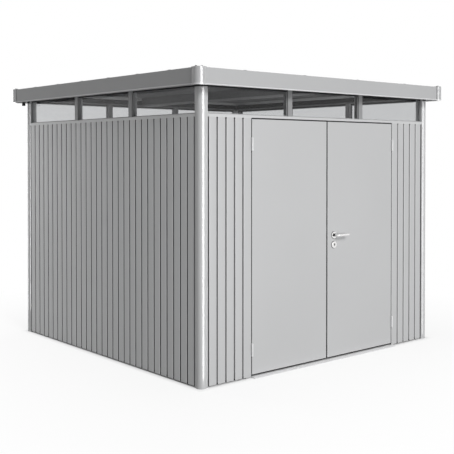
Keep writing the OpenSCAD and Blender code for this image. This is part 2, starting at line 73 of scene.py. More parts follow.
# Depths behind the wall face where the painted highlight on the groove bends and the painted shade in the
# grooves begin, in metres
BEND_END = 0.0008
BEND_START = 0.0002
GROOVE_START = 0.0015

# Seals of the wall sheets and corner posts, in metres
POST_SEAL_W = 0.0105
POST_SEAL_DEPTH = 0.003
POST_SEAL_BEVEL = 0.001
PLUG_H = 0.010
PLUG_SETBACK = 0.002
PLUG_DEPTH = 0.013
PLUG_BEVEL = 0.0008
POST_R = 0.038
COLLAR_H = 0.012
COLLAR_T = 0.0012
COLLAR_SETBACK = 0.001
COLLAR_STEPS = 12

# Glazed band, in metres
PANE_BAYS = 3
PANE_DEPTH = 0.024
BEAD_W = 0.006
BEAD_D = 0.008
BEAD_BEVEL = 0.0012
TOP_SEAL_H = 0.010
TOP_SEAL_BEVEL = 0.0008

# Seals of the doors, in metres, with depths from the face of the front wall
HINGE_H = 0.096
HINGE_INSET = 0.134
GAP_SEAL = 0.0062
GAP_RECESS = 0.0015
GAP_BACK = 0.030
STOP_DEPTHS = (0.036, 0.040)
STOP_INSET = 0.001
STOP_W = 0.019
STOP_DROP = 0.020
LIP_H = 0.003
LIP_T = 0.0012
LIP_GAP = 0.00002
MEETING_SEAL_W = 0.0105
MEETING_DEPTH = 0.012
BRUSH_DEPTHS = (0.006, 0.018)
BRUSH_INSET = 0.004
BRUSH_GAP = 0.002

# Roof edge and roof frame, in metres
HEM_H = 0.0105
HEM_BLEND = 0.001
SEAM_W = 0.0015
SEAM_DEPTHS = (0.0012, 0.0035)
SEAM_RISE = 0.001
BEAM_W = 0.050
BEAM_T = 0.003
BEAM_GAP = 0.002
FILLER_GAP = 0.001
FILLER_FRONT = BEAM_W / 4
BEAM_STRIP_H = 0.028
BEAM_STRIP_T = 0.0012
BEAM_STRIP_DROP = 0.0005
ANGLE_W = 0.014
ANGLE_T = 0.0015
ANGLE_GAP = 0.001

# Lever, lock plates and key ways, in metres and degrees, with gasket edges as shares
LEAF_T = 0.034
ROSE_R = 0.027
ROSE_T = 0.009
GASKET_W = 0.002
GASKET_T = 0.0015
GASKET_LAP = 0.0005
GASKET_EDGE_W = 0.7
GASKET_EDGE_T = 0.6
GASKET_STEPS = 64
NECK_R = 0.0095
NECK_LAP = 0.0003
BUSH_R = 0.0112
BUSH_L = 0.014
BUSH_GAP = 0.0004
BUSH_EDGE_R = 0.0010
BUSH_EDGE_L = 0.0015
BUSH_STEPS = 40
CYLINDER_PROUD = 0.002
KEY_R = 0.0074
KEY_RISE = 0.0034
KEY_SLOT_HALF = 0.0036
KEY_SLOT_DROP = 0.0108
KEY_SINK = 0.0015
KEY_ARC_START = -61
KEY_ARC = 302
KEY_STEPS = 24

# Face plate and keep on the edges of the leaves, in metres, with heights from the spindle
PLATE_BELOW = 0.150
PLATE_ABOVE = 0.085
PLATE_T = 0.001
PLATE_DEPTHS = (0.0075, 0.0295)
KEEP_DEPTHS = (0.0135, 0.0295)
BOLT_LEVELS = ((-0.018, 0.018), (-0.105, -0.065))
BOLT_PROUD = 0.002
BOLT_INSET = 0.005
KEEP_HOLE_GROWN = 0.002
KEEP_HOLE_PROUD = 0.0013
KEEP_HOLE_INSET = 0.003
KEEP_HOLE_BEVEL = 0.0001
PLATE_SCREW_INSET = 0.010

# Screws: outline of a head in shares, degrees of a socket's side, then radius and height in metres
HEAD_PROFILE = ((1.0, 0.0), (1.0, 0.3), (0.9, 0.65), (0.72, 0.9), (0.5, 1.0), (0.44, 1.0), (0.44, 0.4))
HEAD_STEPS = 24
SOCKET_RINGS = 2
SOCKET_SIDE = 60
CORNER_SCREW = (0.008, 0.0075)
STRAP_SCREW = (0.005, 0.0035)
SILL_SCREW = (0.0042, 0.0016)
PLATE_SCREW = (0.0035, 0.001)

# Places of the screws, in metres
CORNER_LEG = 0.075
CORNER_SCREW_INSETS = ((0.044, 0.016), (0.016, 0.044))
STRAPS = 6
STRAP_PITCH = 0.4
STRAP_T = 0.003
STRAP_SCREW_INSET = 0.025
SILL_SCREW_OUT = 0.006
SILL_SCREW_SHARE = 2.2

# Floor: half its length, and the distances from the middle between which its white fades in, in metres
FLOOR_REACH = 30.0
FLOOR_EDGE = (1.27, 1.33)
FLOOR_EDGE_GLOW = 0.80
FLOOR_FADE = (1.3, 3.4)
FLOOR_FADE_GLOW = 0.2

# World light on everything that the camera does not see directly
AMBIENT = 0.23

# Corner strips: nodes, middle of the rounding, distance, bottom and top in metres
CORNER_STRIPS = (
    ("corner_post_", 1.25, 0.20, 0.01, 2.10),
    ("roof_corner_", 1.341, 0.30, 2.06, 2.28),
)
STRIP_TURN = -5
STRIP_SPAN = 38
STRIP_BRIGHT = 30.0
STRIP_DIM = 14.0
SHEEN_NODE = "corner_post_back_left"

# Camera at the photograph's viewing angle
CAMERA_PLACE = (-4.91786, -5.82825, 1.63324)
CAMERA_YAW = 40.2003
CAMERA_PITCH = 0.8768
CAMERA_LENS = 66.816
CAMERA_SENSOR = 36.0
CAMERA_SHIFT = (0.008337, -0.131902)


# Materials


class Shader:
    """A new material with its Principled node, and short ways to add and link nodes."""

    def __init__(self, name):
        self.material = bpy.data.materials.new(name)
        self.material.use_nodes = True
        self.tree = self.material.node_tree
        self.principled = self.tree.nodes["Principled BSDF"]
        self.output = self.tree.nodes["Material Output"]

    def add(self, kind, inputs=None, **settings):
        node = self.tree.nodes.new(kind)
        for key, value in settings.items():
            setattr(node, key, value)
        for key, value in (inputs or {}).items():
            self.put(node.inputs[key], value)
        return node

    def put(self, socket, value):
        """Links a socket, or sets a plain value on it."""
        if isinstance(value, bpy.types.NodeSocket):
            self.tree.links.new(value, socket)
        else:
            socket.default_value = value

    def set(self, **values):
        """Sets inputs of the Principled node by their names in small letters."""
        for key, value in values.items():
            label = key.replace("_", " ").title().replace("Ior", "IOR")
            self.put(self.principled.inputs[label], value)

    def place(self, scale=(1, 1, 1)):
        coordinates = self.add("ShaderNodeTexCoord").outputs["Object"]
        return self.add("ShaderNodeMapping", {"Vector": coordinates, "Scale": scale}).outputs["Vector"]

    def noise(self, scale, detail=2.0, stretch=(1, 1, 1)):
        inputs = {"Vector": self.place(stretch), "Scale": scale, "Detail": detail, "Roughness": 0.5}
        return self.add("ShaderNodeTexNoise", inputs).outputs["Fac"]

    def reach(self):
        """Distance from the middle of the plan to the side that a point lies on."""
        away = self.add("ShaderNodeVectorMath", {0: self.place()}, operation="ABSOLUTE").outputs["Vector"]
        parts = self.add("ShaderNodeSeparateXYZ", {"Vector": away}).outputs
        larger = self.add("ShaderNodeMath", {0: parts["X"], 1: parts["Y"]}, operation="MAXIMUM")
        return larger.outputs["Value"]

    def spread(self, value, low, high, source=(0.3, 0.7)):
        inputs = {"Value": value, "From Min": source[0], "From Max": source[1], "To Min": low, "To Max": high}
        return self.add("ShaderNodeMapRange", inputs).outputs["Result"]

    def mix(self, factor, first, second):
        node = self.add("ShaderNodeMix", data_type="RGBA")
        self.put(node.inputs["Factor"], factor)
        self.put(node.inputs["A"], first)
        self.put(node.inputs["B"], second)
        return node.outputs["Result"]

    def bump(self, height, distance, strength=1.0, normal=None):
        inputs = {"Height": height, "Distance": distance, "Strength": strength}
        if normal is not None:
            inputs["Normal"] = normal
        return self.add("ShaderNodeBump", inputs).outputs["Normal"]

    def blend(self, factor, first, second):
        """Mixes two shaders."""
        node = self.add("ShaderNodeMixShader", {"Fac": factor})
        self.put(node.inputs[1], first)
        self.put(node.inputs[2], second)
        return node.outputs["Shader"]


def tone(colour, factor):
    return tuple(channel * factor for channel in colour) + (1.0,)


def painted_metal(
    name,
    colour,
    roughness=0.42,
    waves=0.0006,
    metallic=0.15,
    coat=0.3,
    coat_roughness=0.16,
    specular=0.5,
    groove_shade_highlight=None,
    hem_highlight=None,
):
    """Satin metallic enamel: slow drift of tone, fine orange peel, and the slight waves of thin sheet.

    The groove tones hold the tone of the painted shade in a groove, the tone of the painted highlight on its
    bend, and the depth where the painted shade is darkest; the hem tone is a painted highlight along the
    rolled hem of the roof edge.
    """
    shader = Shader(name)
    drift = shader.spread(shader.noise(1.3, 3.0), 0, 1)
    flake = shader.spread(shader.noise(420.0), 0, 1)
    base = shader.mix(drift, tone(colour, 0.975), tone(colour, 1.02))
    fleck = shader.mix(flake, tone(colour, 0.96), tone(colour, 1.04))
    wave = shader.bump(shader.noise(2.2, 1.0), waves)
    peel = shader.bump(shader.noise(600.0, 1.0), 0.00004, 0.3, wave)
    paint = shader.mix(0.35, base, fleck)
    # Painted shade in the grooves, darker with depth behind the wall face, and a painted highlight on the
    # bends at their edges
    if groove_shade_highlight is not None:
        groove_shade_tone, bend_highlight_tone, darkest = groove_shade_highlight
        face = -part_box("left_wall")[0].x
        reach = shader.reach()
        flat = shader.spread(reach, 0, 1, (face - BEND_END, face - BEND_START))
        bend = shader.mix(flat, tone(colour, bend_highlight_tone), paint)
        raised = shader.spread(reach, 0, 1, (face - darkest, face - GROOVE_START))
        paint = shader.mix(raised, tone(colour, groove_shade_tone), bend)
    # Painted highlight: the rolled hem at the bottom of the roof edge and its corner pieces is painted
    # lighter
    if hem_highlight is not None:
        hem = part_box("roof_edge_front")[0].z + HEM_H
        height = shader.add("ShaderNodeSeparateXYZ", {"Vector": shader.place()}).outputs["Z"]
        below = shader.spread(height, 1, 0, (hem - HEM_BLEND, hem + HEM_BLEND))
        paint = shader.mix(below, paint, tone(colour, hem_highlight))
    shader.set(
        base_color=paint,
        metallic=metallic,
        roughness=shader.spread(shader.noise(35.0, 3.0), roughness - 0.03, roughness + 0.04),
        specular_ior_level=specular,
        coat_weight=coat,
        coat_roughness=coat_roughness,
        normal=peel,
    )
    return shader.material


def coated_sheet(name, colour, metallic=0.35, roughness=0.48, specular=0.5):
    """Zinc-coated sheet with a faint spangle, for the frame pieces behind the skin."""
    shader = Shader(name)
    cells = shader.add("ShaderNodeTexVoronoi", {"Vector": shader.place(), "Scale": 70.0})
    spangle = shader.add("ShaderNodeSeparateColor", {"Color": cells.outputs["Color"]}).outputs["Red"]
    shader.set(
        base_color=shader.mix(spangle, tone(colour, 0.93), tone(colour, 1.06)),
        metallic=metallic,
        roughness=shader.spread(spangle, roughness - 0.06, roughness + 0.06, (0, 1)),
        specular_ior_level=specular,
        normal=shader.bump(shader.noise(300.0), 0.00005, 0.4),
    )
    return shader.material


def roof_sheet(name, colour, lining):
    """Painted roof trays whose underside carries a felt lining, dark as painted shade inside the roof."""
    shader = Shader(name)
    facing = shader.add("ShaderNodeNewGeometry").outputs["True Normal"]
    upward = shader.add("ShaderNodeSeparateXYZ", {"Vector": facing}).outputs["Z"]
    below = shader.add("ShaderNodeMath", {0: upward, 1: -0.5}, operation="LESS_THAN").outputs["Value"]
    drift = shader.spread(shader.noise(1.1, 3.0), 0, 1)
    felt = shader.noise(450.0, 4.0)
    paint = shader.mix(drift, tone(colour, 0.97), tone(colour, 1.03))
    fibres = shader.mix(shader.spread(felt, 0, 1), tone(lining, 0.82), tone(lining, 1.12))
    shader.set(
        base_color=shader.mix(below, paint, fibres),
        metallic=0.0,
        roughness=shader.spread(below, 0.42, 0.95, (0, 1)),
        normal=shader.bump(felt, 0.0003, 0.4),
    )
    return shader.material


def brushed_metal(name, colour, roughness, grain, metallic=1.0):
    """Bare metal with a fine grain, stretched along the axis where grain is smallest."""
    shader = Shader(name)
    lines = shader.noise(900.0, 3.0, grain)
    shader.set(
        base_color=shader.mix(shader.spread(lines, 0, 1), tone(colour, 0.93), tone(colour, 1.04)),
        metallic=metallic,
        roughness=shader.spread(lines, roughness - 0.05, roughness + 0.07),
        normal=shader.bump(lines, 0.00003, 0.5),
    )
    return shader.material


def moulded(name, colour, roughness):
    """Matt rubber or plastic with a fine moulded grain."""
    shader = Shader(name)
    grain = shader.noise(650.0, 3.0)
    shader.set(
        base_color=shader.mix(shader.spread(grain, 0, 1), tone(colour, 0.85), tone(colour, 1.15)),
        roughness=shader.spread(grain, roughness - 0.08, roughness + 0.08),
        specular_ior_level=0.2,
        normal=shader.bump(grain, 0.0001, 0.5),
    )
    return shader.material


def clear_sheet(name, colour):
    """Clear acrylic that lets the lamps through, with faint smears on its surface."""
    shader = Shader(name)
    smears = shader.noise(9.0, 4.0, (1, 1, 2.5))
    shader.set(
        base_color=tone(colour, 1.0),
        roughness=shader.spread(smears, 0.0, 0.03),
        transmission_weight=1.0,
        ior=1.25,
        specular_ior_level=0.05,
    )
    shadow = shader.add("ShaderNodeLightPath").outputs["Is Shadow Ray"]
    clear = shader.add("ShaderNodeBsdfTransparent", {"Color": tone(colour, 0.97)})
    surface = shader.blend(shadow, shader.principled.outputs["BSDF"], clear.outputs["BSDF"])
    shader.put(shader.output.inputs["Surface"], surface)
    return shader.material


SILVER = (0.50, 0.503, 0.508)
EDGE_SILVER = (0.43, 0.433, 0.438)
# Rails and the beams' edge strips: a painted highlight, lighter than the walls' silver
RAIL_HIGHLIGHT_SILVER = (0.56, 0.563, 0.568)
# Hinges: a painted highlight, lighter than the walls' silver
HINGE_HIGHLIGHT_SILVER = (0.72, 0.723, 0.728)
INNER_GREY = (0.42, 0.422, 0.426)
# Glazing posts and pane beads: painted shade, a darker grey than the walls for the shade under the roof edge
GLAZING_SHADED_GREY = (0.26, 0.262, 0.266)
# Sills under the panes: painted shade, a darker grey than the rail
SILL_SHADED_GREY = (0.36, 0.362, 0.366)
# Roof beams and the felt under the roof trays: painted shade, darkened for the shade inside the roof
BEAM_SHADED_GREY = (0.20, 0.201, 0.203)
LINING_SHADED_GREY = (0.20, 0.201, 0.203)
FILLER_GREY = (0.035, 0.035, 0.036)
ALUMINIUM = (0.82, 0.82, 0.825)
STEEL = (0.86, 0.856, 0.85)
PANE_GREY = (0.73, 0.735, 0.74)
PLASTIC_BLACK = (0.02, 0.02, 0.021)
RUBBER_BLACK = (0.022, 0.022, 0.023)

ROUNDED = {
    "roughness": 0.5, "waves": 0.0, "metallic": 0.0, "coat": 1.0, "coat_roughness": 0.12, "specular": 0.1
}
NARROW = {"roughness": 0.45, "waves": 0.0001, "metallic": 0.0, "coat": 0.2}
CAST = {"roughness": 0.34, "waves": 0.0, "metallic": 0.0, "coat": 1.0, "coat_roughness": 0.10}
EDGE = {"roughness": 0.45, "waves": 0.0004, "metallic": 0.0, "coat": 0.1}

MATERIALS = {
    # Walls and front take copies of one paint whose painted groove shade and bend highlight differ with the
    # light on each side
    "wall_paint": painted_metal("wall_paint", SILVER, groove_shade_highlight=(0.15, 1.45, 0.0045)),
    "front_paint": painted_metal("front_paint", SILVER, groove_shade_highlight=(0.52, 1.2, 0.0085)),
    "hinge_paint": painted_metal("hinge_paint", HINGE_HIGHLIGHT_SILVER, **CAST),
    "post_paint": painted_metal("post_paint", SILVER, **ROUNDED),
    "glazing_paint": painted_metal("glazing_paint", GLAZING_SHADED_GREY, **NARROW),
    "sill_paint": painted_metal("sill_paint", SILL_SHADED_GREY, **NARROW),
    "door_paint": painted_metal("door_paint", SILVER, roughness=0.40, waves=0.0009),
    "edge_paint": painted_metal("edge_paint", EDGE_SILVER, hem_highlight=1.4, **EDGE),
    "corner_paint": painted_metal("corner_paint", EDGE_SILVER, hem_highlight=1.4, **ROUNDED),
    "zinc_sheet": coated_sheet("zinc_sheet", INNER_GREY),
    "rail_paint": painted_metal("rail_paint", RAIL_HIGHLIGHT_SILVER),
    "beam_sheet": coated_sheet("beam_sheet", BEAM_SHADED_GREY, metallic=0.0, roughness=0.6, specular=0.3),
    "filler_foam": moulded("filler_foam", FILLER_GREY, roughness=0.9),
    "roof_sheet": roof_sheet("roof_sheet", SILVER, LINING_SHADED_GREY),
    "bare_aluminium": brushed_metal("bare_aluminium", ALUMINIUM, 0.45, grain=(0.02, 1, 1), metallic=0.5),
    "satin_steel": brushed_metal("satin_steel", STEEL, 0.20, grain=(1, 0.05, 1)),
    "clear_pane": clear_sheet("clear_pane", PANE_GREY),
    "dark_plastic": moulded("dark_plastic", PLASTIC_BLACK, roughness=0.5),
    "seal_rubber": moulded("seal_rubber", RUBBER_BLACK, roughness=0.65),
}
NODE_FINISH = {
    "post_paint": ["corner_post_" + corner for corner in CORNERS],
    "edge_paint": ["roof_edge_" + side for side in SIDES],
    "corner_paint": ["roof_corner_" + corner for corner in CORNERS],
    "rail_paint": ["wall_rail_" + side for side in SIDES],
    "hinge_paint": ["frame_hinges", "left_door_hinges", "right_door_hinges"],
    "glazing_paint": ["glazing_posts_" + side for side in SIDES],
    "zinc_sheet": ["base_rail_left", "base_rail_right", "base_rail_back", "base_rails_front"]
    + ["door_jamb_left", "door_jamb_right", "gutter_straps"],
    "beam_sheet": ["roof_beam_" + side for side in SIDES] + ["roof_beam_middle"],
    "roof_sheet": ["roof_trays", "roof_seam_caps"],
    "door_paint": ["left_door_leaf", "right_door_leaf"],
    "bare_aluminium": ["door_threshold"],
    "satin_steel": ["lock_plates", "door_lever"],
    "clear_pane": ["glazing_" + side for side in SIDES],
    "dark_plastic": ["rain_outlets"],
}


def finish_nodes():
    """Gives each CAD node its finish; the wall nodes, which are not listed, take the wall paint."""
    finishes = {node: finish for finish, nodes in NODE_FINISH.items() for node in nodes}
    for name, node in frame["nodes"].items():
        material = MATERIALS[finishes.get(name, "wall_paint")]
        if not node.material_slots:
            node.data.materials.append(material)
        for slot in node.material_slots:
            slot.material = material


# Meshes and places


def add_piece(name, mesh_data, body, finish):
    """Links a mesh as a piece that rides on a body and takes the material of a finish."""
    bmesh.ops.recalc_face_normals(mesh_data, faces=mesh_data.faces)
    mesh = bpy.data.meshes.new(name)
    mesh_data.to_mesh(mesh)
    mesh_data.free()
    mesh.materials.append(MATERIALS[finish])
    mesh.shade_smooth()
    mesh.set_sharp_from_angle(angle=math.radians(SMOOTH_ANGLE))
    piece = bpy.data.objects.new(name, mesh)
    bpy.context.scene.collection.objects.link(piece)
    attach(piece, body)
    return piece


def soften(data, offset):
    """Rounds all edges of a mesh."""
    bmesh.ops.bevel(
        data, geom=data.edges[:], offset=offset, segments=BEVEL_STEPS, affect="EDGES", profile=0.5
    )


def loft(data, rings, closed=True):
    """Faces between each ring of vertices and the next, round the whole ring or along an open line."""
    for below, above in zip(rings, rings[1:]):
        count = len(below)
        for k in range(count if closed else count - 1):
            after = (k + 1) % count
            data.faces.new((below[k], below[after], above[after], above[k]))


def turned(data, profile, place, count):
    """Adds a closed ring of (reach, level) points, turned about Z of the place."""
    rings = []
    for reach, level in profile:
        ring = []
        for step in range(count):
            angle = 2 * math.pi * step / count
            spot = Vector((reach * math.cos(angle), reach * math.sin(angle), level))
            ring.append(data.verts.new(place @ spot))
        rings.append(ring)
    loft(data, rings + rings[:1])


def add_box(data, low, high):
    """Adds a box between two corners to a mesh."""
    made = bmesh.ops.create_cube(data, size=1.0)["verts"]
    middle = (Vector(low) + Vector(high)) / 2
    size = Vector(high) - Vector(low)
    for vert in made:
        vert.co = Vector([m + c * s for m, c, s in zip(middle, vert.co, size)])


def box_piece(name, boxes, body, finish, matrix=None, bevel=BEVEL):
    """A piece of boxes with rounded edges."""
    data = bmesh.new()
    for low, high in boxes:
        add_box(data, low, high)
    soften(data, bevel)
    if matrix is not None:
        data.transform(matrix)
    add_piece(name, data, body, finish)


def wall_boxes(side):
    """Lowest and highest corners of the wall sheets of a side."""
    nodes = ("front_wall_left", "front_wall_right") if side == "front" else (side + "_wall",)
    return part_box(nodes[0])[0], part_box(nodes[-1])[1]


def wall_levels(side):
    """Heights of the bottom and the top of the wall sheets of a side."""
    return tuple(corner.z for corner in wall_boxes(side))


def side_turn(side):
    return Matrix.Rotation(math.radians(SIDE_TURN[side]), 4, "Z")


def side_frame(side):
    """Matrix that puts a piece drawn along X, with its outer face at y = 0 and depth along +Y, on a side."""
    low, high = wall_boxes(side)
    reach = {"front": -low.y, "right": high.x, "back": high.y, "left": -low.x}[side]
    return side_turn(side) @ Matrix.Translation((0, -reach, 0))


def run_axis(side):
    """Number of the axis that a side runs along."""
    return 0 if side in ("front", "back") else 1


def clear_run(side):
    """Length between the corner posts on a side."""
    low, high = wall_boxes(side)
    axis = run_axis(side)
    return high[axis] - low[axis]


def front_panel():
    """Width of each front wall sheet, from the corner post to the door opening."""
    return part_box("front_wall_left")[1].x + clear_run("front") / 2


def corner_signs(corner):
    """Signs of X and Y at a corner."""
    return -1 if "left" in corner else 1, -1 if "front" in corner else 1


# Wall sheets


def rounded(points, radius, steps):
    """A line of 2D points with each bend replaced by an arc of about that radius."""
    line = [Vector(points[0])]
    for before, bend, after in zip(points, points[1:], points[2:]):
        back = Vector(before) - Vector(bend)
        ahead = Vector(after) - Vector(bend)
        angle = back.angle(ahead)
        reach = min(radius / math.tan(angle / 2), FOLD_SHARE * back.length, FOLD_SHARE * ahead.length)
        start = Vector(bend) + back.normalized() * reach
        end = Vector(bend) + ahead.normalized() * reach
        for step in range(steps + 1):
            t = step / steps
            line.append((1 - t) ** 2 * start + 2 * t * (1 - t) * Vector(bend) + t ** 2 * end)
    line.append(Vector(points[-1]))
    return line


def groove_centres(run, end):
    """Places of the grooves along a sheet, from the corner post to where its last rib ends."""
    count = max(1, round((run - end) / RIB_PITCH))
    pitch = (run - end) / count
    return [GROOVE_W / 2 + k * pitch for k in range(1, count)]


def groove(centre, shift, level):
    return [
        (centre - GROOVE_W / 2 - shift, level),
        (centre - GROOVE_FLOOR_W / 2 - shift, GROOVE_DEPTH + level),
        (centre + GROOVE_FLOOR_W / 2 + shift, GROOVE_DEPTH + level),
        (centre + GROOVE_W / 2 + shift, level),
    ]


def grooved_line(run, end, shift, level):
    """Outline of a sheet from its half groove at the corner post to its last groove."""
    points = [
        (0, GROOVE_DEPTH + level),
        ((GROOVE_W + GROOVE_FLOOR_W) / 2 + shift, GROOVE_DEPTH + level),
        (GROOVE_W + shift, level),
    ]
    for centre in groove_centres(run, end):
        points += groove(centre, shift, level)
    return points


def full_surface(run, shift, level):
    """Outline of a sheet between two corner posts."""
    points = grooved_line(run, GROOVE_W, shift, level)
    return points + [(run - x, y) for x, y in reversed(points[:3])]


def door_side_surface(run, shift, level):
    """Outline of a sheet from a corner post to the door opening, where it folds inwards."""
    points = grooved_line(run, GROOVE_W / 2, shift, level)
    return points + [(run - level, level), (run - level, DOOR_FOLD)]


def wall_sheet(name, node, surface, run, matrix, finish):
    """A folded wall sheet with rounded bends, in place of its plain CAD node."""
    low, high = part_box(node)
    shift = SHEET_T * math.tan((math.pi / 2 - math.atan(GROOVE_LEAN)) / 2)
    face = rounded(surface(run, 0, 0), FOLD_R, FOLD_STEPS)
    rear = rounded(surface(run, shift, SHEET_T), FOLD_R, FOLD_STEPS)
    outline = face + rear[::-1]
    data = bmesh.new()
    rings = [[data.verts.new((p.x, p.y, z)) for p in outline] for z in (low.z, high.z)]
    loft(data, rings)
    for k in range(len(face) - 1):
        mate = len(outline) - 1 - k
        for ring in rings:
            data.faces.new((ring[k], ring[k + 1], ring[mate - 1], ring[mate]))
    data.transform(matrix)
    piece = add_piece(name, data, "shed", finish)
    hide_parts(node)


def wall_sheets():
    for side in ("left", "right", "back"):
        run = clear_run(side)
        matrix = side_frame(side) @ Matrix.Translation((-run / 2, 0, 0))
        wall_sheet("wall_sheet_" + side, side + "_wall", full_surface, run, matrix, "wall_paint")
    start = Matrix.Translation((-clear_run("front") / 2, 0, 0))
    for side, flip in (("left", 1), ("right", -1)):
        matrix = side_frame("front") @ Matrix.Diagonal((flip, 1, 1, 1)) @ start
        name = "front_sheet_" + side
        wall_sheet(name, "front_wall_" + side, door_side_surface, front_panel(), matrix, "front_paint")


# Seals


def post_seals():
    """Rubber profiles in the end grooves of the wall sheets, along the corner posts."""
    for side in SIDES:
        end = clear_run(side) / 2
        low, high = wall_levels(side)
        boxes = []
        for start, stop in ((-end, -end + POST_SEAL_W), (end - POST_SEAL_W, end)):
            boxes.append(((start, POST_SEAL_DEPTH, low), (stop, GROOVE_DEPTH - HAIR, high - HAIR)))
        name = "post_seals_" + side
        box_piece(name, boxes, "shed", "seal_rubber", side_frame(side), POST_SEAL_BEVEL)


def groove_plugs():
    """Foam plugs that close the grooves of the wall sheets at the top and at the bottom; their near-black
    foam also paints the shade in the groove ends.
    """
    corners = ((PLUG_SETBACK, -1), (PLUG_SETBACK, 1), (PLUG_DEPTH, 1), (PLUG_DEPTH, -1))
    for side in SIDES:
        run = clear_run(side)
        if side == "front":
            spots = groove_centres(front_panel(), GROOVE_W / 2)
            spots += [run - spot for spot in spots]
        else:
            spots = groove_centres(run, GROOVE_W)
        low, high = wall_levels(side)
        data = bmesh.new()
        for spot in spots:
            outline = []
            for depth, flip in corners:
                half = GROOVE_W / 2 - GROOVE_LEAN * depth - HAIR
                outline.append((spot - run / 2 + flip * half, depth))
            for levels in ((low, low + PLUG_H), (high - PLUG_H, high - HAIR)):
                rings = [[data.verts.new((x, y, z)) for x, y in outline] for z in levels]
                data.faces.new(rings[0][::-1])
                data.faces.new(rings[1])
                loft(data, rings)
        soften(data, PLUG_BEVEL)
        data.transform(side_frame(side))
        add_piece("groove_plugs_" + side, data, "shed", "filler_foam")


def post_collars():
    """Dark seals round the heads of the corner posts, under the roof frame; their black also paints the shade
    under the roof edge.
    """
    for corner in CORNERS:
        low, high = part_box("corner_post_" + corner)
        sx, sy = corner_signs(corner)
        nose = max(abs(low.x), abs(high.x))
        start = min(abs(low.x), abs(high.x)) + COLLAR_SETBACK
        middle = nose - POST_R
        bottom = high.z - COLLAR_H
        rings = []
        data = bmesh.new()
        for grown, z in ((0, bottom), (COLLAR_T, bottom), (COLLAR_T, high.z), (0, high.z)):
            line = [(start, nose + grown)]
            for step in range(COLLAR_STEPS + 1):
                angle = math.pi / 2 * (1 - step / COLLAR_STEPS)
                reach = POST_R + grown
                line.append((middle + reach * math.cos(angle), middle + reach * math.sin(angle)))
            line.append((nose + grown, start))
            rings.append([data.verts.new((sx * x, sy * y, z - HAIR)) for x, y in line])
        loft(data, rings + rings[:1], closed=False)
        for k in (0, -1):
            data.faces.new([ring[k] for ring in rings])
        add_piece("post_collar_" + corner, data, "shed", "seal_rubber")


def pane_frames():
    """Slim beads round the panes, along the rail and the glazing posts, and a seal under the roof frame."""
    front, back = PANE_DEPTH - BEAD_D, PANE_DEPTH
    last = PANE_BAYS - 1
    for side in SIDES:
        low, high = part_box("glazing_" + side)
        axis = run_axis(side)
        posts_low, posts_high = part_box("glazing_posts_" + side)
        run = clear_run(side)
        bay = run / PANE_BAYS
        half_post = (posts_high[axis] - posts_low[axis] - bay) / 2
        beads = []
        sills = []
        seals = []
        for k in range(PANE_BAYS):
            start = -run / 2 + (0 if k == 0 else k * bay + half_post)
            end = run / 2 - (0 if k == last else (last - k) * bay + half_post)
            sills.append(((start, front, low.z), (end, back, low.z + BEAD_W)))
            for edge, inner in ((start, start + BEAD_W), (end - BEAD_W, end)):
                beads.append(((edge, front, low.z + BEAD_W), (inner, back, high.z - TOP_SEAL_H)))
            seals.append(((start, front, high.z - TOP_SEAL_H), (end, back, high.z)))
        matrix = side_frame(side)
        box_piece("pane_beads_" + side, beads, "shed", "glazing_paint", matrix, BEAD_BEVEL)
        box_piece("pane_sills_" + side, sills, "shed", "sill_paint", matrix, BEAD_BEVEL)
        box_piece("pane_seals_" + side, seals, "shed", "seal_rubber", matrix, TOP_SEAL_BEVEL)


def seam_seals():
    """Black strips in the seams between the straight roof edges and their corner pieces."""
    low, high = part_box("roof_edge_front")
    front, back = (low.y + depth for depth in SEAM_DEPTHS)
    bottom, top = low.z + HEM_H, high.z + SEAM_RISE
    boxes = [
        ((start, front, bottom), (start + SEAM_W, back, top)) for start in (-high.x, high.x - SEAM_W)
    ]
    for side in SIDES:
        box_piece("seam_seals_" + side, boxes, "shed", "seal_rubber", side_turn(side))


def door_seals():
    """Seals in the gaps round the door leaves, on the stops and under the leaves."""
    face = wall_boxes("front")[0].y
    opening = -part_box("front_wall_left")[1].x
    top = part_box("wall_rail_left")[0].z
    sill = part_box("door_threshold")[1].z
    leaf_low, leaf_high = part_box("left_door_leaf")
    lower_hinge = leaf_low.z + HINGE_INSET
    upper_hinge = leaf_high.z - HINGE_INSET - HINGE_H
    runs = ((sill, lower_hinge), (lower_hinge + HINGE_H, upper_hinge), (upper_hinge + HINGE_H, top))
    front, back = face + GAP_RECESS, face + GAP_BACK
    stop_front, stop_back = (face + depth for depth in STOP_DEPTHS)
    for name, flip in (("left", -1), ("right", 1)):
        edges = sorted((flip * opening, flip * (opening - GAP_SEAL)))
        boxes = [((edges[0], front, start), (edges[1], back, end)) for start, end in runs]
        stop = sorted((flip * (opening - STOP_INSET), flip * (opening - STOP_W)))
        boxes.append(((stop[0], stop_front, sill), (stop[1], stop_back, top - STOP_DROP)))
        box_piece("door_seal_" + name, boxes, "shed", "seal_rubber")
    inner = opening - GAP_SEAL
    boxes = [
        ((-inner, front, top - GAP_SEAL), (inner, back, top)),
        ((-inner, stop_front, top - STOP_W), (inner, stop_back, top - STOP_INSET)),
        ((-inner, face - LIP_T, top - GAP_SEAL), (inner, face - LIP_GAP, top + LIP_H)),
    ]
    box_piece("door_seal_top", boxes, "shed", "seal_rubber")
    start = (leaf_high.x, front, leaf_low.z)
    end = (leaf_high.x + MEETING_SEAL_W, face + MEETING_DEPTH, leaf_high.z)
    box_piece("meeting_seal", [(start, end)], "left_door", "seal_rubber")
    for name in ("left", "right"):
        low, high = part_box(name + "_door_leaf")
        start = (low.x + BRUSH_INSET, face + BRUSH_DEPTHS[0], sill + BRUSH_GAP)
        end = (high.x - BRUSH_INSET, face + BRUSH_DEPTHS[1], low.z)
        box_piece("sill_brush_" + name, [(start, end)], name + "_door", "seal_rubber")


# Roof frame and fittings


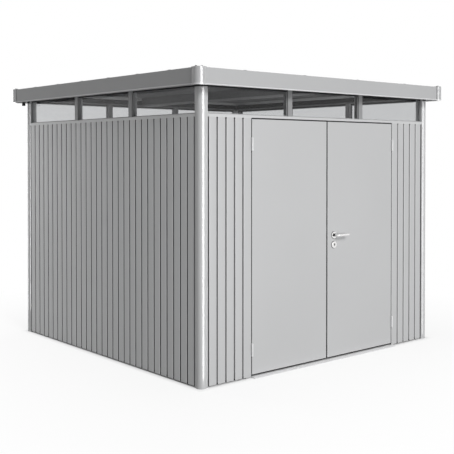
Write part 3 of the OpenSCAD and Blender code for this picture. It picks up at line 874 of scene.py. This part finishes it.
def beam_trims():
    """Foam and light edge strips on the channels of the roof frame, and angles along the middle beam; the
    edge strips' lighter paint is a painted highlight on the beam lips.
    """
    low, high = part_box("roof_beam_front")
    end = high.x - BEAM_W
    bottom, top = low.z + BEAM_T + FILLER_GAP, high.z - BEAM_T - FILLER_GAP
    filler = [((-end, FILLER_FRONT, bottom), (end, BEAM_W - BEAM_T - BEAM_GAP, top))]
    for side in SIDES:
        box_piece("beam_filler_" + side, filler, "shed", "filler_foam", side_frame(side))
    bottom, top = high.z - BEAM_STRIP_H, high.z - BEAM_STRIP_DROP
    low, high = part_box("roof_beam_middle")
    whole = [(-end + BEAM_GAP, end - BEAM_GAP)]
    halves = [(-end + BEAM_GAP, low.x - BEAM_GAP), (high.x + BEAM_GAP, end - BEAM_GAP)]
    for side in SIDES:
        runs = halves if side in ("front", "back") else whole
        boxes = [
            ((start, BEAM_W, bottom), (stop, BEAM_W + BEAM_STRIP_T, top)) for start, stop in runs
        ]
        name = "beam_strips_" + side
        box_piece(name, boxes, "shed", "rail_paint", side_frame(side), THIN_BEVEL)
    start, stop = low.y + ANGLE_GAP, high.y - ANGLE_GAP
    boxes = []
    for edge, out in ((low.x, -1), (high.x, 1)):
        side_low, side_high = sorted((edge + out * ANGLE_T, edge))
        under_low, under_high = sorted((edge + out * ANGLE_T, edge - out * ANGLE_W))
        boxes.append(((side_low, start, low.z), (side_high, stop, low.z + ANGLE_W)))
        boxes.append(((under_low, start, low.z - ANGLE_T), (under_high, stop, low.z)))
    box_piece("beam_angles", boxes, "shed", "zinc_sheet", bevel=THIN_BEVEL)


def screw_heads(name, places, body, size, finish="satin_steel"):
    """Domed heads with a six-sided socket, each standing along Z of its matrix."""
    radius, height = size
    data = bmesh.new()
    for place in places:
        rings = []
        for k, (reach, level) in enumerate(HEAD_PROFILE):
            in_socket = k >= len(HEAD_PROFILE) - SOCKET_RINGS
            ring = []
            for step in range(HEAD_STEPS):
                angle = 2 * math.pi * step / HEAD_STEPS
                off_flat = (math.degrees(angle) + SOCKET_SIDE / 2) % SOCKET_SIDE - SOCKET_SIDE / 2
                stretch = 1 / math.cos(math.radians(off_flat)) if in_socket else 1.0
                spot = Vector((math.cos(angle), math.sin(angle), 0)) * (radius * reach * stretch)
                ring.append(data.verts.new(place @ (spot + Vector((0, 0, height * level)))))
            rings.append(ring)
        loft(data, rings)
        data.faces.new(rings[0][::-1])
        middle = data.verts.new(place @ Vector((0, 0, height * HEAD_PROFILE[-1][1])))
        for k in range(HEAD_STEPS):
            data.faces.new((rings[-1][k], rings[-1][(k + 1) % HEAD_STEPS], middle))
    add_piece(name, data, body, finish)


def roof_screws():
    """Screws on the corner pieces and on the gutter straps."""
    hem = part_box("roof_edge_front")[1].x + CORNER_LEG
    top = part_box("roof_corner_front_left")[1].z
    places = [
        Matrix.Translation((sx * (hem - dx), sy * (hem - dy), top))
        for sx in (-1, 1)
        for sy in (-1, 1)
        for dx, dy in CORNER_SCREW_INSETS
    ]
    screw_heads("corner_screws", places, "shed", CORNER_SCREW, "dark_plastic")
    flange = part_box("roof_edge_left")[1].z + STRAP_T
    reach = hem - STRAP_SCREW_INSET
    places = [
        Matrix.Translation((sx * reach, (k - (STRAPS - 1) / 2) * STRAP_PITCH, flange))
        for sx in (-1, 1)
        for k in range(STRAPS)
    ]
    screw_heads("strap_screws", places, "shed", STRAP_SCREW)


def threshold_screws():
    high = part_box("door_threshold")[1]
    row = wall_boxes("front")[0].y - SILL_SCREW_OUT
    places = [Matrix.Translation((k * high.x / SILL_SCREW_SHARE, row, high.z)) for k in (-2, -1, 0, 1, 2)]
    screw_heads("threshold_screws", places, "shed", SILL_SCREW)


def lock_places():
    """The lever's spindle on the outer face of the right leaf, as x, y and z, and the key's height."""
    x, face, lever = frame["record"]["behaviour"]["joints"][2]["pos_m"]
    key = sum(corner.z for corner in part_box("lock_plates")) - lever
    return x, face, lever, key


def lock_fittings():
    """Face plate with the drawn-in bolts on the right leaf's edge, and its keep on the left leaf's edge."""
    left_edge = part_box("left_door_leaf")[1].x
    right_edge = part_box("right_door_leaf")[0].x
    face = wall_boxes("front")[0].y
    lever = lock_places()[2]
    low, high = lever - PLATE_BELOW, lever + PLATE_ABOVE
    ends = (low + PLATE_SCREW_INSET, high - PLATE_SCREW_INSET)
    near, far = (face + depth for depth in PLATE_DEPTHS)
    outer = right_edge - PLATE_T
    plate = [((outer, near, low), (right_edge, far, high))]
    box_piece("lock_face_plate", plate, "right_door", "satin_steel", bevel=THIN_BEVEL)
    bolts = []
    for bottom, top in BOLT_LEVELS:
        start = (right_edge - BOLT_PROUD, near + BOLT_INSET, lever + bottom)
        bolts.append((start, (outer + HAIR, far - BOLT_INSET, lever + top)))
    box_piece("lock_bolts", bolts, "right_door", "bare_aluminium", bevel=THIN_BEVEL)
    turn = Matrix.Rotation(math.radians(-90), 4, "Y")
    plate_screws = [Matrix.Translation((outer, (near + far) / 2, z)) @ turn for z in ends]
    near, far = (face + depth for depth in KEEP_DEPTHS)
    outer = left_edge + PLATE_T
    keep = [((left_edge, near, low), (outer, far, high))]
    box_piece("lock_keep", keep, "left_door", "satin_steel", bevel=THIN_BEVEL)
    holes = []
    for bottom, top in BOLT_LEVELS:
        start = (outer - HAIR, near + KEEP_HOLE_INSET, lever + bottom - KEEP_HOLE_GROWN)
        end = (left_edge + KEEP_HOLE_PROUD, far - KEEP_HOLE_INSET, lever + top + KEEP_HOLE_GROWN)
        holes.append((start, end))
    box_piece("lock_keep_holes", holes, "left_door", "dark_plastic", bevel=KEEP_HOLE_BEVEL)
    turn = Matrix.Rotation(math.radians(90), 4, "Y")
    keep_screws = [Matrix.Translation((outer, (near + far) / 2, z)) @ turn for z in ends]
    screw_heads("lock_plate_screws", plate_screws, "right_door", PLATE_SCREW)
    screw_heads("lock_keep_screws", keep_screws, "left_door", PLATE_SCREW)


def lock_faces(height):
    """Matrices at a height of the lock, which stand along Z out of both faces of the right leaf."""
    x, face, _, _ = lock_places()
    outer = Matrix.Translation((x, face, height)) @ Matrix.Rotation(math.radians(90), 4, "X")
    inner = Matrix.Translation((x, face + LEAF_T, height)) @ Matrix.Rotation(math.radians(-90), 4, "X")
    return outer, inner


def rose_gaskets():
    """Thin rubber rings under the round lock plates, on both faces of the right leaf; their dark rim round
    the plates is also a painted shadow gap.
    """
    _, _, lever, key = lock_places()
    profile = (
        (ROSE_R - GASKET_LAP, 0),
        (ROSE_R + GASKET_W, 0),
        (ROSE_R + GASKET_W, GASKET_T * GASKET_EDGE_T),
        (ROSE_R + GASKET_W * GASKET_EDGE_W, GASKET_T),
        (ROSE_R - GASKET_LAP, GASKET_T),
    )
    data = bmesh.new()
    for height in (lever, key):
        for place in lock_faces(height):
            turned(data, profile, place, GASKET_STEPS)
    add_piece("rose_gaskets", data, "right_door", "seal_rubber")


def lever_bushes():
    """Plastic bushes round the necks of the lever, against the lock plates; their dark plastic also paints
    the shade on the lever's neck.
    """
    profile = (
        (NECK_R - NECK_LAP, ROSE_T + BUSH_GAP),
        (BUSH_R, ROSE_T + BUSH_GAP),
        (BUSH_R, ROSE_T + BUSH_L - BUSH_EDGE_L),
        (BUSH_R - BUSH_EDGE_R, ROSE_T + BUSH_L),
        (NECK_R - NECK_LAP, ROSE_T + BUSH_L),
    )
    data = bmesh.new()
    for place in lock_faces(lock_places()[2]):
        turned(data, profile, place, BUSH_STEPS)
    add_piece("lever_bushes", data, "lever", "dark_plastic")


def key_holes():
    """Dark key ways on the faces of the lock cylinder: a round hole with a slot below it, filled with dark
    plastic as painted shade.
    """
    x, face, _, key = lock_places()
    top = ROSE_T + CYLINDER_PROUD
    outline = []
    for step in range(KEY_STEPS + 1):
        angle = math.radians(KEY_ARC_START + KEY_ARC * step / KEY_STEPS)
        outline.append((KEY_R * math.cos(angle), KEY_RISE + KEY_R * math.sin(angle)))
    outline += [(-KEY_SLOT_HALF, -KEY_SLOT_DROP), (KEY_SLOT_HALF, -KEY_SLOT_DROP)]
    data = bmesh.new()
    for base, out in ((face, -1), (face + LEAF_T, 1)):
        rings = []
        for level in (top - KEY_SINK, top + HAIR):
            rings.append([data.verts.new((x + u, base + out * level, key + v)) for u, v in outline])
        loft(data, rings)
        for ring in rings:
            data.faces.new(ring)
    add_piece("key_holes", data, "right_door", "dark_plastic")


# Stage, light and camera


def build_stage():
    """Pale floor, white to the camera away from the shed, which keeps the shed's shadow."""
    mesh = bpy.data.meshes.new("floor")
    spots = [(x * FLOOR_REACH, y * FLOOR_REACH, 0) for x, y in ((-1, -1), (1, -1), (1, 1), (-1, 1))]
    mesh.from_pydata(spots, [], [(0, 1, 2, 3)])
    floor = bpy.data.objects.new("floor", mesh)
    bpy.context.scene.collection.objects.link(floor)
    shader = Shader("floor_white")
    shader.tree.nodes.remove(shader.principled)
    path = shader.add("ShaderNodeLightPath").outputs
    seen = path["Is Camera Ray"]
    for ray in ("Is Transmission Ray", "Is Glossy Ray"):
        either = shader.add("ShaderNodeMath", {0: seen, 1: path[ray]}, operation="ADD", use_clamp=True)
        seen = either.outputs[0]
    distance = shader.reach()
    edge = shader.spread(distance, 0.0, FLOOR_EDGE_GLOW, FLOOR_EDGE)
    fade = shader.spread(distance, 0.0, FLOOR_FADE_GLOW, FLOOR_FADE)
    glow = shader.add("ShaderNodeMath", {0: edge, 1: fade}, operation="ADD").outputs[0]
    pale = shader.add("ShaderNodeBsdfDiffuse", {"Color": (0.9, 0.9, 0.9, 1)}).outputs["BSDF"]
    white = shader.add("ShaderNodeEmission", {"Color": (1, 1, 1, 1), "Strength": 1.0}).outputs["Emission"]
    dim = shader.add("ShaderNodeBsdfDiffuse", {"Color": (0.2, 0.2, 0.2, 1)}).outputs["BSDF"]
    surface = shader.blend(seen, dim, shader.blend(glow, pale, white))
    shader.put(shader.output.inputs["Surface"], surface)
    mesh.materials.append(shader.material)


def build_world():
    """White for the camera, also through the panes and in reflections, and a dimmer light on surfaces."""
    world = bpy.data.worlds.new("studio")
    bpy.context.scene.world = world
    world.use_nodes = True
    tree = world.node_tree
    background = tree.nodes["Background"]
    background.inputs["Color"].default_value = (1, 1, 1, 1)
    path = tree.nodes.new("ShaderNodeLightPath").outputs
    seen = path["Is Camera Ray"]
    for ray in ("Is Transmission Ray", "Is Glossy Ray"):
        either = tree.nodes.new("ShaderNodeMath")
        either.use_clamp = True
        tree.links.new(seen, either.inputs[0])
        tree.links.new(path[ray], either.inputs[1])
        seen = either.outputs[0]
    strength = tree.nodes.new("ShaderNodeMapRange")
    strength.inputs["To Min"].default_value = AMBIENT
    strength.inputs["To Max"].default_value = 1.0
    tree.links.new(seen, strength.inputs["Value"])
    tree.links.new(strength.outputs["Result"], background.inputs["Strength"])


def add_lamp(name, place, target, size, power, diffuse=True, mirrored=True):
    """Area lamp that lights surfaces, shows in reflections, or both."""
    lamp = bpy.data.lights.new(name, "AREA")
    lamp.shape = "RECTANGLE"
    lamp.size, lamp.size_y = size
    lamp.energy = power
    holder = bpy.data.objects.new(name, lamp)
    holder.location = place
    holder.rotation_euler = (Vector(target) - Vector(place)).to_track_quat("-Z", "Y").to_euler()
    holder.visible_camera = False
    holder.visible_transmission = False
    holder.visible_diffuse = diffuse
    holder.visible_glossy = mirrored
    bpy.context.scene.collection.objects.link(holder)
    return holder


def light_group(name, nodes, state="INCLUDE"):
    """Collection of CAD nodes that a lamp lights alone, or that it leaves out."""
    group = bpy.data.collections.new(name)
    for node in nodes:
        group.objects.link(frame["nodes"][node])
    for entry in group.collection_objects:
        entry.light_linking.link_state = state
    return group


def corner_strips():
    """Narrow lamps beside the corners, seen only as reflections in their rounded pieces."""
    turn = math.radians(STRIP_TURN)
    for kind, middle, away, low, high in CORNER_STRIPS:
        lit = light_group(kind + "light", [kind + corner for corner in CORNERS])
        size = (2 * away * math.tan(math.radians(STRIP_SPAN / 2)), high - low)
        for corner in CORNERS:
            if kind + corner == SHEEN_NODE:
                continue
            sx, sy = corner_signs(corner)
            target = (sx * middle, sy * middle, (low + high) / 2)
            x, y = target[0] + sx * away * math.sin(turn), target[1] + sy * away * math.cos(turn)
            power = (STRIP_BRIGHT if corner == "front_left" else STRIP_DIM) * size[0] * size[1]
            name = kind + "strip_" + corner
            lamp = add_lamp(name, (x, y, target[2]), target, size, power, diffuse=False)
            lamp.light_linking.receiver_collection = lit


def build_lamps():
    """Lamps by name, place, target, size in metres and power in watts."""
    corner_strips()
    sheen = add_lamp(
        "back_left_sheen", (-1.745, 2.124, 1.11), (-1.288, 1.235, 1.11), (0.25, 2.2), 9.0, diffuse=False
    )
    sheen.light_linking.receiver_collection = light_group("sheen_light", [SHEEN_NODE])
    add_lamp("key", (-1.22, -8.2, 0.8), (0, -1.28, 0.9), (3.0, 1.4), 142.0, mirrored=False)
    add_lamp("key_high", (-3.68, -22.15, 14.3), (0, -1.28, 1.1), (8.0, 8.0), 4340.0, mirrored=False)
    add_lamp("strip", (-0.7, -8.5, 1.65), (-0.7, 0, 1.65), (5.0, 3.3), 150.0, diffuse=False)
    left_back = add_lamp(
        "left_back", (-2.5, 4.0, 1.7), (-1.3, 1.0, 1.2), (1.6, 1.6), 64.0, mirrored=False
    )
    left_back.light_linking.receiver_collection = light_group(
        "left_back_kept_off", ["roof_edge_left", "roof_corner_back_left"], "EXCLUDE"
    )
    add_lamp("right_back", (7.0, 4.0, 2.2), (1.0, 0.5, 1.1), (4.0, 3.0), 160.0, mirrored=False)
    add_lamp("inside", (0, -1.1, 1.3), (0, 1.2, 1.9), (2.0, 0.8), 12.0, mirrored=False)
    add_lamp("overhead", (0, 0, 7.5), (0, 0, 0), (5.0, 5.0), 140.0, mirrored=False)


def build_camera():
    data = bpy.data.cameras.new("camera")
    data.lens = CAMERA_LENS
    data.sensor_width = CAMERA_SENSOR
    data.shift_x, data.shift_y = CAMERA_SHIFT
    camera = bpy.data.objects.new("camera", data)
    camera.location = CAMERA_PLACE
    camera.rotation_euler = (math.radians(90 - CAMERA_PITCH), 0, -math.radians(CAMERA_YAW))
    bpy.context.scene.collection.objects.link(camera)
    bpy.context.scene.camera = camera


build_camera()
finish_nodes()
wall_sheets()
post_seals()
groove_plugs()
post_collars()
pane_frames()
seam_seals()
door_seals()
beam_trims()
roof_screws()
threshold_screws()
lock_fittings()
rose_gaskets()
lever_bushes()
key_holes()
build_stage()
build_world()
build_lamps()
bpy.context.scene.view_settings.view_transform = "Standard"
